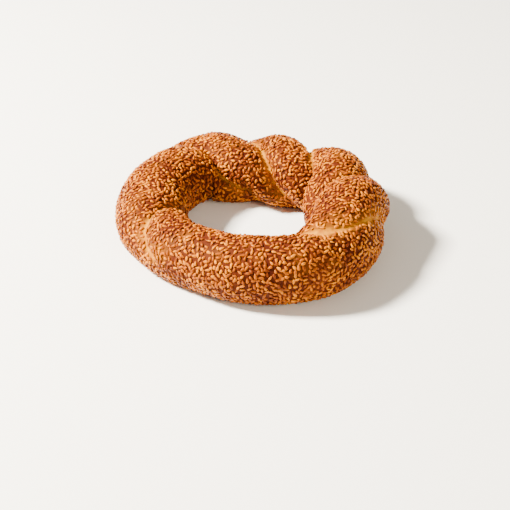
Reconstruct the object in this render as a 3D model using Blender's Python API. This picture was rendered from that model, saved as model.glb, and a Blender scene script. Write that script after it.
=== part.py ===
"""A simit: a sesame bread ring of two twisted dough strands, joined at the front and baked on a flat base.

The strands have grown into one loaf, so the ring is one solid. Two clefts run round it, where they meet.
Ring angles run anticlockwise from +X, seen from above. Section angles run round the bread's own section:
0 on the outside, 90 on top, 180 towards the hole and 270 at the base.
"""

import bpy
import numpy as np

MM = 0.001

# The ring at every 30 degrees, from +X: its centre line's radius, and half its width and height, in mm.
STATIONS = (0, 30, 60, 90, 120, 150, 180, 210, 240, 270, 300, 330)
CENTRE_RADIUS = (56.0, 60.5, 56.5, 56.0, 63.0, 59.5, 55.5, 53.5, 53.0, 57.5, 63.0, 61.0)
HALF_WIDTH = (24.5, 23.5, 26.0, 26.0, 23.5, 21.5, 21.5, 18.0, 18.0, 18.5, 19.5, 21.0)
HALF_HEIGHT = (21.5, 20.5, 19.5, 19.5, 19.5, 19.0, 17.5, 17.0, 17.5, 18.5, 20.0, 21.5)

# The twist, as (ring angle, twist angle): the clefts run with it, one at the twist angle and one half a
# turn on. Where the twist angle is AT_CREST, a cleft crosses the top of the bread. The twist is fast along
# the back and slow at the front, where the ends were rolled together.
TURNS = 3
AT_CREST = 66.4
CREST_TWIST = (
    (-20, 135), (12, 0), (50, -180), (67, -262), (84, -360), (101, -430), (121, -540),
    (134, -582), (184, -630), (200, -722), (212, -768), (235, -806), (260, -826), (295, -849),
    (309, -900),
)
# How much slower, in degrees, a cleft runs down the side of the hole than over the outside.
INNER_LAG = 25.8

# Half the distance between the strands' centres, as a share of half the section: more makes deeper clefts.
CLEFT_ANGLES = (0, 45, 90, 130, 165, 210, 240, 270, 305)
CLEFT_DEPTH = (0.20, 0.25, 0.25, 0.17, 0.08, 0.16, 0.14, 0.07, 0.23)
BASE_FILL = 0.7

# The soft dough has settled on its base: this share of the half height is pressed flat, with a round edge.
SETTLED = 0.15
BASE_EDGE = 2.5

# The mesh: rows round the ring stand closer where the twist is faster.
ROWS = 168
COLUMNS = 28
SLOW_STEP = 3.0
FAST_TURN = 11.0

CRUST_COLOUR = (0.48, 0.20, 0.06, 1.0)
CRUST_ROUGHNESS = 0.5


def smooth_through(angle, knots, values):
    """Values along a smooth curve through the knots, which never swings past them."""
    knots, values = np.asarray(knots, float), np.asarray(values, float)
    gap = np.diff(knots)
    slope = np.diff(values) / gap
    before, after = slope[:-1], slope[1:]
    level = before * after <= 0
    total = np.where(level, 1.0, before + after)
    inner = np.where(level, 0.0, 2 * before * after / total)
    tangent = np.concatenate([slope[:1], inner, slope[-1:]])
    at = np.clip(np.searchsorted(knots, angle, side="right") - 1, 0, len(gap) - 1)
    share = (angle - knots[at]) / gap[at]
    start, end = values[at], values[at + 1]
    rise_out, rise_in = tangent[at] * gap[at], tangent[at + 1] * gap[at]
    square, cube = share**2, share**3
    return (
        (2 * cube - 3 * square + 1) * start
        + (cube - 2 * square + share) * rise_out
        + (3 * square - 2 * cube) * end
        + (cube - square) * rise_in
    )


def round_the_ring(angle, knots, values, per_ring=0.0):
    """smooth_through() on a closed ring. per_ring is what a value gains in each full turn of the ring."""
    knots, values = np.asarray(knots, float), np.asarray(values, float)
    rings = np.arange(-2, 3)
    all_knots = (knots + 360 * rings[:, None]).ravel()
    all_values = (values + per_ring * rings[:, None]).ravel()
    return smooth_through(np.asarray(angle, float), all_knots, all_values)


def twist(angle):
    """The first cleft's twist angle at each ring angle."""
    knots, values = zip(*CREST_TWIST)
    return AT_CREST - 180 + round_the_ring(angle, knots, values, per_ring=-360 * TURNS)


def section_angle(twisted):
    """The section angle at a twist angle."""
    return twisted + INNER_LAG * np.sin(np.radians(twisted))


def ring_angles():
    """The rows' ring angles over one turn, closer together where the twist is faster."""
    fine = np.linspace(0, 360, 1441)
    turning = np.abs(np.gradient(twist(fine), fine))
    wanted = 1 / SLOW_STEP + turning / FAST_TURN
    rows_so_far = np.concatenate([[0], np.cumsum((wanted[1:] + wanted[:-1]) / 2)])
    share = np.arange(ROWS) / ROWS
    return np.interp(share * rows_so_far[-1], rows_so_far, fine)


def centre_line(angle):
    """The section centres' x and y."""
    radius = round_the_ring(angle, STATIONS, CENTRE_RADIUS)
    turn = np.radians(angle)
    return np.stack([radius * np.cos(turn), radius * np.sin(turn)], -1)


def outward(angle, step=0.05):
    """Unit vectors square to the centre line, pointing away from the hole."""
    along = centre_line(angle + step) - centre_line(angle - step)
    along /= np.linalg.norm(along, axis=-1, keepdims=True)
    return np.stack([along[:, 1], -along[:, 0]], -1)


def swell(across, depth):
    """A strand's height as a share of the section: 1 in its middle, least at its clefts, 180 degrees apart.

    The outline is that of two circles, each of radius 1 - depth, with centres twice the depth apart.
    """
    turn = np.radians(across)
    return depth * np.abs(np.sin(turn)) + np.sqrt((1 - depth) ** 2 - (depth * np.cos(turn)) ** 2)


def ring_points():
    """All points, as rows round the ring by columns round the section, centred on the ring's own box.

    The columns turn with the twist, so that one column runs along the bottom of each cleft.
    """
    angle = ring_angles()
    across = np.arange(COLUMNS) * 360 / COLUMNS
    section = np.radians(section_angle(twist(angle)[:, None] + across))
    depth = round_the_ring(angle, CLEFT_ANGLES, CLEFT_DEPTH)[:, None]
    depth = depth * (1 - BASE_FILL * np.clip(-np.sin(section), 0, 1))
    share = swell(across, depth)
    half_width = round_the_ring(angle, STATIONS, HALF_WIDTH)[:, None]
    half_height = round_the_ring(angle, STATIONS, HALF_HEIGHT)[:, None]
    out = half_width * share * np.cos(section)
    height = settle(half_height * (1 - SETTLED + share * np.sin(section)))
    flat = centre_line(angle)[:, None] + out[..., None] * outward(angle)[:, None]
    points = np.concatenate([flat, height[..., None]], -1)
    middle = (points.min((0, 1)) + points.max((0, 1))) / 2
    points[..., :2] -= middle[:2]
    return points


def settle(height):
    """Heights with all that would reach below the tray pressed flat, and a rounded edge of BASE_EDGE."""
    edge = (height + BASE_EDGE) ** 2 / (4 * BASE_EDGE)
    return np.where(height > BASE_EDGE, height, np.where(height > -BASE_EDGE, edge, 0.0))


def ring_faces(rows, columns):
    """Quads that close both ways: round the section, and round the ring."""
    row, column = np.meshgrid(np.arange(rows), np.arange(columns), indexing="ij")
    next_row, next_column = (row + 1) % rows, (column + 1) % columns
    corners = [(row, column), (next_row, column), (next_row, next_column), (row, next_column)]
    return np.stack([r * columns + c for r, c in corners], -1).reshape(-1, 4)


def crust_material():
    material = bpy.data.materials.new("crust")
    material.use_nodes = True
    shader = material.node_tree.nodes["Principled BSDF"]
    shader.inputs["Base Color"].default_value = CRUST_COLOUR
    shader.inputs["Roughness"].default_value = CRUST_ROUGHNESS
    shader.inputs["Metallic"].default_value = 0.0
    return material


def dough_ring():
    points = ring_points()
    rows, columns = points.shape[:2]
    mesh = bpy.data.meshes.new("dough_ring")
    mesh.from_pydata((points * MM).reshape(-1, 3).tolist(), [], ring_faces(rows, columns).tolist())
    mesh.materials.append(crust_material())
    mesh.shade_smooth()
    ring = bpy.data.objects.new("dough_ring", mesh)
    bpy.context.scene.collection.objects.link(ring)
    return ring


def main():
    for old in list(bpy.data.objects):
        bpy.data.objects.remove(old)
    dough_ring()


if __name__ == "__main__":
    main()
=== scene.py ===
"""A simit as it comes from the oven: twisted dough with a glossy crust, rolled in sesame all over."""

import math

import bmesh
import bpy
import numpy as np
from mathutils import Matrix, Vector
from mathutils.kdtree import KDTree


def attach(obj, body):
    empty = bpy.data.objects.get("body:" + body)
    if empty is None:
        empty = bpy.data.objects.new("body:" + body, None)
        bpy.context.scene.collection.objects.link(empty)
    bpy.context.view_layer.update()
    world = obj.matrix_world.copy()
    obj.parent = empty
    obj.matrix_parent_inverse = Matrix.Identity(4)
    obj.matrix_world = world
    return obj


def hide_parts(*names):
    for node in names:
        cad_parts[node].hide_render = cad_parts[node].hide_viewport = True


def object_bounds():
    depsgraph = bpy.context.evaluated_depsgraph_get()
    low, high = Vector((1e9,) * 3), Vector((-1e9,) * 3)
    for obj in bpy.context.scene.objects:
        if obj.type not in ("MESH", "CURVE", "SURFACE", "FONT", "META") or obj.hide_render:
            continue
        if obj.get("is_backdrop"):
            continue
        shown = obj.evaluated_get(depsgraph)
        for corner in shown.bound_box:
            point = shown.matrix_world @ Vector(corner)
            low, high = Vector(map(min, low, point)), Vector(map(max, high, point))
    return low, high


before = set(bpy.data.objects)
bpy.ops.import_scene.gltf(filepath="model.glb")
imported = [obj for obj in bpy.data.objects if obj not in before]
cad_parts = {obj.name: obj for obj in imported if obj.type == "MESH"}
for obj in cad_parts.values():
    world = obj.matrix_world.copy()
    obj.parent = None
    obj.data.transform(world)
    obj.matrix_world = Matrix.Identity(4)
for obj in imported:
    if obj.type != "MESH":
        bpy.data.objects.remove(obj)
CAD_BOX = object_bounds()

MM = 0.001
# A distance well outside the bread, and one within which two points are the same.
FAR = 1.0
SAME_POINT = 0.001 * MM

# ---- The dough ---------------------------------------------------------------------------------------

# The underside stands this far off the tray, because the ring rests on the seeds pressed into it.
TRAY_GAP = 0.35 * MM
# How many times the CAD's faces are split as they are rounded off.
DOUGH_LEVELS = 2
LUMP_SIZE, LUMP_HEIGHT, LUMP_DETAIL = 13 * MM, 0.55 * MM, 1.0
GRAIN_SIZE, GRAIN_HEIGHT, GRAIN_DETAIL = 3.2 * MM, 0.18 * MM, 2.0

# The clefts where the two strands meet, named by where each crosses the top of the ring, with that ring
# angle and the share of the pinch that draws it in. Stretched dough shows in them, bare of seeds. The
# stations of each run from its inner foot to its outer one: degrees past the top, then half the bare band's
# width in millimetres, then how pale the dough is there.
CLEFTS = (
    ("right", 12, 1.0, (
        (-20, 0.0, 0.0), (-6, 0.8, 0.2), (2, 1.0, 0.4), (8, 2.0, 0.9), (16, 2.2, 0.9), (24, 0.0, 0.0),
    )),
    ("back right", 50, 0.8, (
        (-26, 0.0, 0.0), (-14, 0.7, 0.1), (-4, 1.0, 0.4), (2, 2.4, 1.0), (12, 2.6, 1.0), (20, 0.0, 0.0),
    )),
    ("back", 84, 0.9, (
        (-34, 0.0, 0.0), (-26, 1.6, 0.8), (-18, 2.0, 1.0), (-8, 1.8, 0.9), (0, 1.8, 0.8), (8, 2.0, 0.9),
        (22, 0.0, 0.0),
    )),
    ("back left", 121, 1.0, (
        (-38, 0.0, 0.0), (-30, 1.2, 0.3), (-18, 1.4, 0.6), (-8, 1.2, 0.6), (2, 1.0, 0.5), (10, 0.8, 0.3),
        (16, 0.0, 0.0),
    )),
    ("left", 200, 0.8, (
        (-20, 0.0, 0.0), (-15, 1.3, 0.9), (-8, 0.9, 0.4), (2, 1.0, 0.4), (7, 2.4, 1.0), (11, 2.2, 1.0),
        (14, 1.3, 0.7), (18, 2.0, 1.0), (26, 1.8, 0.9),
    )),
    ("front right", 309, 0.3, (
        (-32, 0.0, 0.0), (-22, 1.4, 0.7), (-12, 3.2, 1.0), (-3, 3.6, 1.0), (5, 2.2, 0.9), (13, 1.4, 0.7),
        (21, 1.5, 0.8), (27, 2.2, 1.0), (36, 2.2, 1.0), (43, 0.0, 0.0),
    )),
)
# The strands are pressed together there, so each cleft's bottom is drawn in by this much, this far across.
PINCH_DEPTH, PINCH_WIDTH = 1.5 * MM, 1.7 * MM

# A cleft ends this high above the base. It is found where the CAD's mesh is hollow by at least this much,
# in runs of more than so many points.
CLEFT_FOOT = 3 * MM
CLEFT_LEAST = 0.03 * MM
CLEFT_RUN = 8
# Its line is smoothed over so many degrees of the ring, then drawn with so many points to each smooth one.
# It reaches this many degrees past its stations, and its pinch fades out over this share at each foot.
CLEFT_STEP = 2.5
CLEFT_FINENESS = 8
CLEFT_REACH = 3
CLEFT_FADE = 0.15
# The bare band thins out up to this many times its half width, and is never thinner than this.
BARE_SPREAD = 1.6
BARE_LEAST = 0.01 * MM
# Crust stays golden this far on both sides of a bare band.
GOLDEN_WIDTH = 3.5 * MM

# ---- The sesame --------------------------------------------------------------------------------------

SEED_LENGTH, SEED_WIDTH, SEED_THICKNESS = 3.1 * MM, 1.58 * MM, 0.98 * MM
# A seed is this share narrower at its pointed end, and as much wider at the round one.
SEED_TAPER = 0.42
SEED_SIDES, SEED_RINGS = 8, 6
# Seeds lie this far apart, at most so many to a square metre.
SEED_GAP = 2.0 * MM
SEED_MOST = 1.6e6
# How far a seed's middle stands off the crust, and how far it leans in radians, both times a chance factor.
SEED_LIFT, LIFT_RANGE = 0.22 * MM, (0.4, 1.9)
SEED_TILT, ROLL_RANGE, NOD_RANGE = 0.34, (-1.3, 1.3), (-1.0, 1.0)
# The least and the greatest of a seed along, across and through it, as shares of its sizes above.
SIZE_RANGES = ((0.80, 1.14), (0.84, 1.16), (0.85, 1.25))
# The seeds' edge is ragged on this scale, this finely and by this much. They thin out between two levels.
RAGGED_SIZE, RAGGED_DETAIL, RAGGED_DEPTH = 4 * MM, 1.5, 1.1
THIN_FROM, THIN_TO = 0.30, 0.55
SCATTER_SEED = 11
# Each kind of seed: how toasted it is, from 0 to 1, and its share of all the seeds.
SEED_KINDS = (
    ("sesame_golden", 0.20, 0.22),
    ("sesame_tan", 0.42, 0.28),
    ("sesame_toasted", 0.62, 0.28),
    ("sesame_brown", 0.85, 0.22),
)


# ---- Building node trees -----------------------------------------------------------------------------


def plug(node, where, value):
    """Sets or links one input of a node: by name, or by its place among the inputs in use."""
    in_use = [s for s in node.inputs if s.enabled]
    socket = in_use[where] if isinstance(where, int) else next(s for s in in_use if s.name == where)
    if isinstance(value, bpy.types.NodeSocket):
        node.id_data.links.new(value, socket)
    else:
        socket.default_value = value


def add(tree, kind, inputs=None, out=0, **settings):
    """Adds a node and returns its out-th output in use."""
    node = tree.nodes.new(kind)
    for name, value in settings.items():
        setattr(node, name, value)
    for where, value in (inputs or {}).items():
        plug(node, where, value)
    in_use = [s for s in node.outputs if s.enabled]
    return in_use[out] if isinstance(out, int) else next(s for s in in_use if s.name == out)


def calc(tree, operation, *values):
    """A maths node's result."""
    return add(tree, "ShaderNodeMath", dict(enumerate(values)), operation=operation)


def vector_calc(tree, operation, *values):
    """A vector maths node's result."""
    return add(tree, "ShaderNodeVectorMath", dict(enumerate(values)), operation=operation)


def rescale(tree, value, start, end, low, high):
    """low where value is start or less, high where it is end or more, and even in between."""
    return add(tree, "ShaderNodeMapRange", {0: value, 1: start, 2: end, 3: low, 4: high})


def blend_value(tree, share, low, high):
    """low where share is 0, high where it is 1."""
    return rescale(tree, share, 0.0, 1.0, low, high)


def total(tree, *values):
    """The sum of any number of values."""
    result = values[0]
    for value in values[1:]:
        result = calc(tree, "ADD", result, value)
    return result


def no_lower(tree, height):
    """Each point's place, or the one straight above it at this height if that is higher."""
    place = add(tree, "GeometryNodeInputPosition")
    lowest = add(tree, "ShaderNodeCombineXYZ", {"X": -FAR, "Y": -FAR, "Z": height})
    return vector_calc(tree, "MAXIMUM", place, lowest)


def geometry_tree(name, sizes):
    """A tree from a geometry and named sizes to a geometry. Returns it with its inputs and its output."""
    tree = bpy.data.node_groups.new(name, "GeometryNodeTree")
    tree.interface.new_socket("Geometry", in_out="OUTPUT", socket_type="NodeSocketGeometry")
    tree.interface.new_socket("Geometry", in_out="INPUT", socket_type="NodeSocketGeometry")
    for size, kind in sizes:
        tree.interface.new_socket(size, in_out="INPUT", socket_type="NodeSocket" + kind)
    given = tree.nodes.new("NodeGroupInput")
    result = tree.nodes.new("NodeGroupOutput")
    return tree, given.outputs, result.inputs[0]


def show(name, data):
    """A new object in the scene."""
    thing = bpy.data.objects.new(name, data)
    bpy.context.scene.collection.objects.link(thing)
    return thing


def grow(name, source, tree, values):
    """Runs a geometry tree on a mesh, which stays as it is. Returns the result as a plain mesh object."""
    worked = show(name, source)
    modifier = worked.modifiers.new(name, "NODES")
    modifier.node_group = tree
    for item in tree.interface.items_tree:
        if item.in_out == "INPUT" and item.name in values:
            modifier[item.identifier] = values[item.name]
    shown = bpy.context.evaluated_depsgraph_get()
    mesh = bpy.data.meshes.new_from_object(worked.evaluated_get(shown), depsgraph=shown)
    worked.modifiers.clear()
    worked.data = mesh
    mesh.name = name
    return worked


# ---- The dough's shape -------------------------------------------------------------------------------


def merged_cage(node_name):
    """The CAD node's mesh with its loose triangles joined up, mostly into four-sided faces."""
    shape = bmesh.new()
    shape.from_mesh(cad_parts[node_name].data)
    bmesh.ops.remove_doubles(shape, verts=shape.verts, dist=SAME_POINT)
    bmesh.ops.join_triangles(
        shape, faces=shape.faces[:], angle_face_threshold=math.pi, angle_shape_threshold=math.pi
    )
    mesh = bpy.data.meshes.new("dough_cage")
    shape.to_mesh(mesh)
    shape.free()
    return mesh


def hollow_chains(cage):
    """The clefts' bottoms: one array of points for each run of them that lie below their neighbours."""
    shape = bmesh.new()
    shape.from_mesh(cage)
    shape.normal_update()
    shape.verts.ensure_lookup_table()
    hollow = set()
    for point in shape.verts:
        around = [edge.other_vert(point).co for edge in point.link_edges]
        middle = sum(around, Vector()) / len(around)
        if (middle - point.co).dot(point.normal) > CLEFT_LEAST and point.co.z > CLEFT_FOOT:
            hollow.add(point.index)
    chains = []
    while hollow:
        waiting, chain = [hollow.pop()], []
        while waiting:
            point = shape.verts[waiting.pop()]
            chain.append(point.co[:])
            joined = {edge.other_vert(point).index for edge in point.link_edges} & hollow
            hollow -= joined
            waiting.extend(joined)
        if len(chain) > CLEFT_RUN:
            chains.append(np.array(chain))
    shape.free()
    return chains


def ring_angle(points):
    """Degrees anticlockwise from +X, seen from above."""
    return np.degrees(np.arctan2(points[:, 1], points[:, 0]))


def turned_past(angles, start):
    """How far angles lie past start, from -180 to 180."""
    return (angles - start + 180) % 360 - 180


def cleft_points(chains, top, stations):
    """One cleft's points: every run whose top is nearest to this cleft's, as far as its stations reach."""
    tops = [other_top for _, other_top, _, _ in CLEFTS]
    first, last = stations[0][0] - CLEFT_REACH, stations[-1][0] + CLEFT_REACH
    found = []
    for chain in chains:
        own_top = ring_angle(chain[np.argmax(chain[:, 2])][None])[0]
        if min(tops, key=lambda other_top: abs(turned_past(own_top, other_top))) == top:
            past = turned_past(ring_angle(chain), top)
            found.append(chain[(past > first) & (past < last)])
    return np.concatenate(found)


def cleft_line(points, top):
    """A smooth line along one cleft, from its outer to its inner foot, and how far past the top it is."""
    past = turned_past(ring_angle(points), top)
    steps = np.arange(past.max(), past.min(), -CLEFT_STEP)
    nearness = np.exp(-(((past[None] - steps[:, None]) / CLEFT_STEP) ** 2))
    middle = (nearness[..., None] * points[None]).sum(1) / nearness.sum(1)[:, None]
    count = np.arange(len(steps))
    fine = np.linspace(0, len(steps) - 1, CLEFT_FINENESS * len(steps))
    line = np.stack([np.interp(fine, count, middle[:, axis]) for axis in range(3)], -1)
    return line, np.interp(fine, count, steps)


def nearest_on(line, points):
    """For each point, the place along the line of its nearest point, and how far away that is."""
    tree = KDTree(len(line))
    for place, spot in enumerate(line):
        tree.insert(spot, place)
    tree.balance()
    place, away = np.array([tree.find(point)[1:] for point in points]).T
    return place.astype(int), away


def bell(away, width):
    """1 on the line, falling off smoothly to next to nothing at two widths away."""
    return np.exp(-((away / width) ** 2))


def paint_clefts(dough, cage):
    """Stores attributes near the clefts: how bare of seeds, pale, golden and drawn in the dough is."""
    points = np.empty(len(dough.vertices) * 3)
    dough.vertices.foreach_get("co", points)
    points = points.reshape(-1, 3)
    bare, pale, golden, pinch = (np.zeros(len(points)) for _ in range(4))
    chains = hollow_chains(cage)
    for _, top, depth, stations in CLEFTS:
        line, past_top = cleft_line(cleft_points(chains, top, stations), top)
        place, away = nearest_on(line, points)
        degrees, half_widths, paleness = np.array(stations).T
        half_width = np.interp(past_top[place], degrees, half_widths) * MM
        paleness = np.interp(past_top[place], degrees, paleness)
        close = np.clip(1 - away / np.maximum(half_width * BARE_SPREAD, BARE_LEAST), 0, 1)
        close = close**2 * (3 - 2 * close)
        share = place / (len(line) - 1)
        feet = np.clip(share / CLEFT_FADE, 0, 1) * np.clip((1 - share) / CLEFT_FADE, 0, 1)
        bare = np.maximum(bare, close)
        pale = np.maximum(pale, close * paleness)
        pinch = np.maximum(pinch, depth * bell(away, PINCH_WIDTH) * feet)
        golden = np.maximum(golden, paleness * bell(away, GOLDEN_WIDTH + half_width))
    for name, values in (("bare", bare), ("pale", pale), ("golden", golden), ("pinch", pinch)):
        dough.attributes.new(name, "FLOAT", "POINT").data.foreach_set("value", values)


def rounding_tree():
    """The cage's faces split and rounded off."""
    tree, given, result = geometry_tree("rounded_strands", (("Levels", "Int"),))
    rounded = add(
        tree, "GeometryNodeSubdivisionSurface", {"Mesh": given["Geometry"], "Level": given["Levels"]}
    )
    tree.links.new(add(tree, "GeometryNodeRealizeInstances", {"Geometry": rounded}), result)
    return tree


def dough_tree():
    """The proofed dough: drawn in at the clefts, with soft lumps and fine grain, held just off the tray."""
    tree, given, result = geometry_tree(
        "proofed_dough",
        (
            ("Pinch depth", "Float"), ("Lump size", "Float"), ("Lump height", "Float"),
            ("Grain size", "Float"), ("Grain height", "Float"), ("Tray gap", "Float"),
            ("Finish", "Material"),
        ),
    )
    place = add(tree, "GeometryNodeInputPosition")

    def swelling(size, height, detail):
        """A soft unevenness of this size and height, as much out as in."""
        noise = add(
            tree, "ShaderNodeTexNoise",
            {"Vector": place, "Scale": calc(tree, "DIVIDE", 1.0, size), "Detail": detail},
        )
        return calc(tree, "MULTIPLY", calc(tree, "SUBTRACT", noise, 0.5), height)

    swell = calc(
        tree, "ADD",
        swelling(given["Lump size"], given["Lump height"], LUMP_DETAIL),
        swelling(given["Grain size"], given["Grain height"], GRAIN_DETAIL),
    )
    pinch = add(tree, "GeometryNodeInputNamedAttribute", {"Name": "pinch"}, data_type="FLOAT")
    swell = calc(tree, "SUBTRACT", swell, calc(tree, "MULTIPLY", pinch, given["Pinch depth"]))
    normal = add(tree, "GeometryNodeInputNormal")
    lumpy = add(
        tree, "GeometryNodeSetPosition",
        {"Geometry": given["Geometry"], "Offset": vector_calc(tree, "SCALE", normal, swell)},
    )
    off_tray = no_lower(tree, given["Tray gap"])
    rested = add(tree, "GeometryNodeSetPosition", {"Geometry": lumpy, "Position": off_tray})
    smooth = add(tree, "GeometryNodeSetShadeSmooth", {"Geometry": rested})
    solid = add(tree, "GeometryNodeRealizeInstances", {"Geometry": smooth})
    finished = add(tree, "GeometryNodeSetMaterial", {"Geometry": solid, "Material": given["Finish"]})
    tree.links.new(finished, result)
    return tree


def make_dough(finish):
    """The bread itself, as an object."""
    cage = merged_cage("dough_ring")
    strands = grow("strands", cage, rounding_tree(), {"Levels": DOUGH_LEVELS})
    paint_clefts(strands.data, cage)
    dough = grow(
        "dough", strands.data, dough_tree(),
        {
            "Pinch depth": PINCH_DEPTH, "Lump size": LUMP_SIZE, "Lump height": LUMP_HEIGHT,
            "Grain size": GRAIN_SIZE, "Grain height": GRAIN_HEIGHT, "Tray gap": TRAY_GAP, "Finish": finish,
        },
    )
    bpy.data.objects.remove(strands)
    return dough


# ---- The sesame's shape ------------------------------------------------------------------------------


def chance(tree, limits, seed):
    """A random number for each seed, between two limits. Each use has a random seed of its own."""
    low, high = limits
    return add(
        tree, "FunctionNodeRandomValue", {"Min": low, "Max": high, "Seed": seed}, data_type="FLOAT"
    )


def turn(tree, rotation, angles):
    """A rotation turned further about its own axes."""
    further = add(
        tree, "FunctionNodeEulerToRotation", {"Euler": add(tree, "ShaderNodeCombineXYZ", angles)}
    )
    return add(
        tree, "FunctionNodeRotateRotation", {"Rotation": rotation, "Rotate By": further},
        rotation_space="LOCAL",
    )


def one_seed(tree, given):
    """One seed: a ball drawn out along X, flattened, and narrowed towards one end."""
    ball = add(
        tree, "GeometryNodeMeshUVSphere", {"Segments": SEED_SIDES, "Rings": SEED_RINGS, "Radius": 1.0}
    )
    apart = tree.nodes.new("ShaderNodeSeparateXYZ")
    tree.links.new(add(tree, "GeometryNodeInputPosition"), apart.inputs[0])
    across, through, along = apart.outputs["Y"], apart.outputs["X"], apart.outputs["Z"]
    narrow = calc(tree, "SUBTRACT", 1.0, calc(tree, "MULTIPLY", given["Taper"], along))

    def stretched(reach, size):
        """The ball's reach of 1 made half of one of the seed's sizes."""
        return calc(tree, "MULTIPLY", reach, calc(tree, "MULTIPLY", given[size], 0.5))

    # The ball is turned onto its side, so its X goes to the seed's -Z, which keeps its faces outwards.
    flat = stretched(calc(tree, "MULTIPLY", through, -1.0), "Thickness")
    shaped = add(
        tree, "ShaderNodeCombineXYZ",
        {
            "X": stretched(along, "Length"),
            "Y": calc(tree, "MULTIPLY", stretched(across, "Width"), narrow),
            "Z": calc(tree, "MULTIPLY", flat, narrow),
        },
    )
    ball = add(
        tree, "GeometryNodeStoreNamedAttribute", {"Geometry": ball, "Name": "tip", "Value": along},
        data_type="FLOAT", domain="POINT",
    )
    return add(tree, "GeometryNodeSetPosition", {"Geometry": ball, "Position": shaped})


def seed_places(tree, given):
    """Where one kind's seeds stick: their points, the way out from the dough, and how each lies on it."""
    bare = add(tree, "GeometryNodeInputNamedAttribute", {"Name": "bare"}, data_type="FLOAT")
    place = add(tree, "GeometryNodeInputPosition")
    patchy = add(
        tree, "ShaderNodeTexNoise",
        {"Vector": place, "Scale": 1 / RAGGED_SIZE, "Detail": RAGGED_DETAIL},
    )
    ragged = calc(tree, "MULTIPLY", calc(tree, "SUBTRACT", patchy, 0.5), RAGGED_DEPTH)
    room = rescale(tree, calc(tree, "ADD", bare, ragged), THIN_FROM, THIN_TO, 1.0, 0.0)
    scatter = tree.nodes.new("GeometryNodeDistributePointsOnFaces")
    scatter.distribute_method = "POISSON"
    for where, value in (
        ("Mesh", given["Geometry"]), ("Distance Min", given["Gap"]), ("Density Max", given["Most"]),
        ("Density Factor", room), ("Seed", given["Scatter"]),
    ):
        plug(scatter, where, value)
    points, normal, facing = [s for s in scatter.outputs if s.enabled][:3]
    share = chance(tree, (0.0, 1.0), 1)
    after_first = calc(tree, "GREATER_THAN", share, given["First share"])
    before_last = calc(tree, "LESS_THAN", share, given["Last share"])
    others = calc(tree, "SUBTRACT", 1.0, calc(tree, "MULTIPLY", after_first, before_last))
    points = add(
        tree, "GeometryNodeDeleteGeometry", {"Geometry": points, "Selection": others}, domain="POINT"
    )
    return points, normal, facing


def seed_tree():
    """Seeds of one kind, stuck all over a surface except where its bare attribute is high."""
    tree, given, result = geometry_tree(
        "sesame",
        (
            ("Length", "Float"), ("Width", "Float"), ("Thickness", "Float"), ("Taper", "Float"),
            ("Gap", "Float"), ("Most", "Float"), ("Lift", "Float"), ("Tilt", "Float"),
            ("First share", "Float"), ("Last share", "Float"), ("Scatter", "Int"), ("Finish", "Material"),
        ),
    )
    seed = one_seed(tree, given)
    points, normal, facing = seed_places(tree, given)
    lift = calc(tree, "MULTIPLY", given["Lift"], chance(tree, LIFT_RANGE, 2))
    lifted = add(
        tree, "GeometryNodeSetPosition",
        {"Geometry": points, "Offset": vector_calc(tree, "SCALE", normal, lift)},
    )
    lean = {
        "X": calc(tree, "MULTIPLY", given["Tilt"], chance(tree, ROLL_RANGE, 3)),
        "Y": calc(tree, "MULTIPLY", given["Tilt"], chance(tree, NOD_RANGE, 4)),
        "Z": 0.0,
    }
    spin = {"X": 0.0, "Y": 0.0, "Z": chance(tree, (0.0, math.tau), 5)}
    turned = turn(tree, turn(tree, facing, spin), lean)
    size = add(
        tree, "ShaderNodeCombineXYZ",
        {axis: chance(tree, SIZE_RANGES[place], 6 + place) for place, axis in enumerate("XYZ")},
    )
    stuck = add(
        tree, "GeometryNodeInstanceOnPoints",
        {"Points": lifted, "Instance": seed, "Rotation": turned, "Scale": size},
    )
    stuck = add(
        tree, "GeometryNodeStoreNamedAttribute",
        {"Geometry": stuck, "Name": "tone", "Value": chance(tree, (0.0, 1.0), 9)},
        data_type="FLOAT", domain="INSTANCE",
    )
    solid = add(tree, "GeometryNodeRealizeInstances", {"Geometry": stuck})
    pressed = add(
        tree, "GeometryNodeSetPosition", {"Geometry": solid, "Position": no_lower(tree, 0.0)}
    )
    smooth = add(tree, "GeometryNodeSetShadeSmooth", {"Geometry": pressed})
    finished = add(tree, "GeometryNodeSetMaterial", {"Geometry": smooth, "Material": given["Finish"]})
    tree.links.new(finished, result)
    return tree


def stick_sesame(dough, finish_of):
    """Every kind of seed on the dough. Returns the objects."""
    tree = seed_tree()
    made, first = [], 0.0
    for name, toast, share in SEED_KINDS:
        made.append(
            grow(
                name, dough.data, tree,
                {
                    "Length": SEED_LENGTH, "Width": SEED_WIDTH, "Thickness": SEED_THICKNESS,
                    "Taper": SEED_TAPER, "Gap": SEED_GAP, "Most": SEED_MOST, "Lift": SEED_LIFT,
                    "Tilt": SEED_TILT, "First share": first, "Last share": first + share,
                    "Scatter": SCATTER_SEED, "Finish": finish_of[name],
                },
            )
        )
        first += share
    return made


# ---- Finishes ----------------------------------------------------------------------------------------


def finish_tree(name):
    """A new material's node tree and its shader."""
    material = bpy.data.materials.new(name)
    material.use_nodes = True
    tree = material.node_tree
    return material, tree, tree.nodes["Principled BSDF"]


def mix_colour(tree, share, low, high):
    """The low colour where share is 0, the high one where it is 1."""
    return add(tree, "ShaderNodeMix", {"Factor": share, "A": low, "B": high}, data_type="RGBA")


def shade_noise(tree, size, detail=2.0):
    """A noise pattern of that size in metres."""
    place = add(tree, "ShaderNodeTexCoord", out="Object")
    return add(tree, "ShaderNodeTexNoise", {"Vector": place, "Scale": 1 / size, "Detail": detail})


def mottle(tree, size, detail=2.0, reach=0.2, low=0.0, high=1.0):
    """Patches of that size, from low to high. The smaller the reach, the harder their edges."""
    return rescale(tree, shade_noise(tree, size, detail), 0.5 - reach, 0.5 + reach, low, high)


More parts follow.
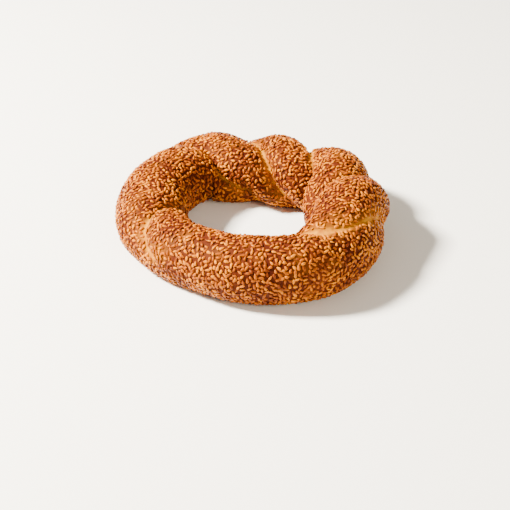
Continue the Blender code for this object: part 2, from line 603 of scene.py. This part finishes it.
def stored(tree, name):
    """An attribute of the surface."""
    return add(tree, "ShaderNodeAttribute", attribute_name=name, out="Fac")


CRUST_HONEY = (0.17, 0.050, 0.002, 1.0)
CRUST_GOLDEN = (0.080, 0.0145, 0.004, 1.0)
CRUST_CHESTNUT = (0.034, 0.0048, 0.0035, 1.0)
DOUGH_PALE = (0.50, 0.205, 0.002, 1.0)
DOUGH_AMBER = (0.31, 0.090, 0.003, 1.0)
CRUST_ROUGHNESS, DOUGH_ROUGHNESS = 0.55, 0.65
# Light that glances off the baked glaze takes its colour. The glaze is thin, so little light does.
GLAZE = (1.0, 0.60, 0.10, 1.0)
CRUST_GLANCE, SEED_GLANCE = 0.05, 0.15

# The crust's patterns by size: darker baking, honey patches, streaks in the bare dough, specks and pores.
TOAST_SIZE, TOAST_REACH = 22 * MM, 0.15
HONEY_SIZE = 15 * MM
STREAK_SIZE = 4 * MM
SPECK_SIZE = 1.6 * MM
PORE_SIZE = 0.9 * MM
FINE_DETAIL = 3.0
# How dark the crust is comes from its toasting by this share, and from its specks by the rest.
TOAST_SHARE = 0.6
# Honey patches go from low to high, on top of the golden attribute. They start at 0 and end at full.
HONEY_LOW, HONEY_HIGH, HONEY_FULL = -1.3, 1.1, 0.7
# Specks make the bare dough more or less pale by these factors. It starts and is full at these two shares.
PALE_MOST, PALE_LEAST = 1.15, 0.75
PALE_START, PALE_FULL = 0.1, 0.8
# The relief of pores and specks on the crust.
PORE_SHARE = 0.5
RELIEF_HEIGHT, RELIEF_STRENGTH = 0.18 * MM, 0.5


def crust_finish():
    """Baked crust, from honey to chestnut, going to pale soft dough where it stretched bare."""
    material, tree, shader = finish_tree("crust")
    toast = mottle(tree, TOAST_SIZE, reach=TOAST_REACH)
    speck = mottle(tree, SPECK_SIZE, FINE_DETAIL)
    toast_part = calc(tree, "MULTIPLY", toast, TOAST_SHARE)
    speck_part = calc(tree, "MULTIPLY", speck, 1 - TOAST_SHARE)
    baked = mix_colour(tree, total(tree, toast_part, speck_part), CRUST_GOLDEN, CRUST_CHESTNUT)
    patches = blend_value(tree, shade_noise(tree, HONEY_SIZE), HONEY_LOW, HONEY_HIGH)
    honey = rescale(tree, total(tree, stored(tree, "golden"), patches), 0.0, HONEY_FULL, 0.0, 1.0)
    baked = mix_colour(tree, honey, baked, CRUST_HONEY)
    soft = mix_colour(tree, mottle(tree, STREAK_SIZE, FINE_DETAIL), DOUGH_PALE, DOUGH_AMBER)
    paleness = calc(
        tree, "MULTIPLY", stored(tree, "pale"), blend_value(tree, speck, PALE_MOST, PALE_LEAST)
    )
    share = rescale(tree, paleness, PALE_START, PALE_FULL, 0.0, 1.0)
    plug(shader, "Base Color", mix_colour(tree, share, baked, soft))
    plug(shader, "Roughness", blend_value(tree, share, CRUST_ROUGHNESS, DOUGH_ROUGHNESS))
    plug(shader, "Specular Tint", GLAZE)
    plug(shader, "Specular IOR Level", CRUST_GLANCE)
    pores = calc(tree, "MULTIPLY", shade_noise(tree, PORE_SIZE, FINE_DETAIL), PORE_SHARE)
    relief = add(
        tree, "ShaderNodeBump",
        {"Strength": RELIEF_STRENGTH, "Distance": RELIEF_HEIGHT, "Height": total(tree, pores, speck)},
    )
    plug(shader, "Normal", relief)
    return material


# A seed's colour by how toasted it is: not at all, half and fully.
SEED_COLOURS = ((0.47, 0.142, 0.001, 1.0), (0.28, 0.063, 0.001, 1.0), (0.11, 0.018, 0.0035, 1.0))
SEED_ROUGHNESS = (0.22, 0.34)
# What else toasts a seed: chance, the patch of the bread that it is in, and being near its pointed end.
# Next to a cleft it is toasted less. All kinds are shifted by the last value.
SEED_TONE = 0.6
SEED_PATCH_SIZE, SEED_PATCH_LOW, SEED_PATCH_HIGH = 20 * MM, -0.26, 0.30
SEED_TIP = 0.10
SEED_BY_CLEFT = -0.30
SEED_SHIFT = -0.30


def seed_finish(name, toast):
    """A toasted sesame hull: satin, a little darker at the tip, each seed its own shade."""
    material, tree, shader = finish_tree(name)
    tone = stored(tree, "tone")
    level = total(
        tree,
        calc(tree, "MULTIPLY", tone, SEED_TONE),
        toast + SEED_SHIFT,
        mottle(tree, SEED_PATCH_SIZE, low=SEED_PATCH_LOW, high=SEED_PATCH_HIGH),
        calc(tree, "MULTIPLY", stored(tree, "tip"), SEED_TIP),
        calc(tree, "MULTIPLY", stored(tree, "golden"), SEED_BY_CLEFT),
    )
    ramp = tree.nodes.new("ShaderNodeValToRGB")
    stops = ramp.color_ramp.elements
    stops[0].color, stops[1].color = SEED_COLOURS[0], SEED_COLOURS[2]
    stops.new(0.5).color = SEED_COLOURS[1]
    tree.links.new(level, ramp.inputs[0])
    plug(shader, "Base Color", ramp.outputs[0])
    plug(shader, "Roughness", blend_value(tree, tone, *SEED_ROUGHNESS))
    plug(shader, "Specular Tint", GLAZE)
    plug(shader, "Specular IOR Level", SEED_GLANCE)
    return material


# ---- The table, the light and the camera -------------------------------------------------------------

FLOOR_REACH = 3.0
FLOOR_COLOUR, FLOOR_ROUGHNESS = (0.94, 0.93, 0.90, 1.0), 0.6
# Each lamp's name, place and side in metres, power in watts and colour. Both point at the ring's middle.
LAMPS = (
    ("window", (-1.02, 0.06, 0.96), 0.25, 182, (1.0, 0.93, 0.80)),
    ("front_fill", (0.75, -1.1, 0.8), 0.7, 18, (1.0, 0.86, 0.66)),
)
LAMP_AIM = (0.0, 0.0, 15 * MM)
ROOM_COLOUR, ROOM_STRENGTH = (1.0, 0.92, 0.80, 1.0), 0.45
# Degrees above the table, how far off, the point it looks at, the lens and sensor in millimetres, and how
# near and how far it sees in metres.
CAMERA_ELEVATION = 32.0
CAMERA_DISTANCE = 680 * MM
CAMERA_AIM = Vector((1.3 * MM, -19.8 * MM, 0.0))
CAMERA_LENS, CAMERA_SENSOR = 85.0, 36.0
CAMERA_NEAREST, CAMERA_FARTHEST = 0.01, 20.0


def lay_floor():
    """A plain pale floor, which is stage, not part of the bread."""
    corners = [(x, y, 0) for x, y in ((-1, -1), (1, -1), (1, 1), (-1, 1))]
    mesh = bpy.data.meshes.new("floor")
    mesh.from_pydata([Vector(corner) * FLOOR_REACH for corner in corners], [], [(0, 1, 2, 3)])
    material, _, shader = finish_tree("pale_floor")
    plug(shader, "Base Color", FLOOR_COLOUR)
    plug(shader, "Roughness", FLOOR_ROUGHNESS)
    mesh.materials.append(material)
    show("floor", mesh)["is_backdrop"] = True


def aim(thing, target):
    """Turns a lamp or a camera towards a point."""
    thing.rotation_euler = (Vector(target) - thing.location).to_track_quat("-Z", "Y").to_euler()


def light_studio():
    """A window on the left, a weak fill from the front right, and an even room."""
    for name, place, side, power, colour in LAMPS:
        lamp = bpy.data.lights.new(name, "AREA")
        lamp.shape = "SQUARE"
        lamp.size, lamp.energy, lamp.color = side, power, colour
        holder = show(name, lamp)
        holder.location = place
        aim(holder, LAMP_AIM)
    world = bpy.data.worlds.new("studio")
    bpy.context.scene.world = world
    world.use_nodes = True
    background = world.node_tree.nodes["Background"]
    plug(background, "Color", ROOM_COLOUR)
    plug(background, "Strength", ROOM_STRENGTH)


def set_camera():
    """The camera, straight in front of the bread and above it."""
    lens = bpy.data.cameras.new("camera")
    lens.lens, lens.sensor_width = CAMERA_LENS, CAMERA_SENSOR
    lens.clip_start, lens.clip_end = CAMERA_NEAREST, CAMERA_FARTHEST
    camera = show("camera", lens)
    up = math.radians(CAMERA_ELEVATION)
    camera.location = CAMERA_AIM + Vector((0, -math.cos(up), math.sin(up))) * CAMERA_DISTANCE
    aim(camera, CAMERA_AIM)
    bpy.context.scene.camera = camera


def main():
    """The bread, its seeds, the stage, and both boxes worked out."""
    dough = make_dough(crust_finish())
    seeds = stick_sesame(dough, {name: seed_finish(name, toast) for name, toast, _ in SEED_KINDS})
    for piece in (dough, *seeds):
        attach(piece, "root")
    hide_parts("dough_ring")
    lay_floor()
    light_studio()
    set_camera()
    boxes = {"cad": CAD_BOX, "visual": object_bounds()}
    boxes = {name: [list(corner) for corner in box] for name, box in boxes.items()}


main()
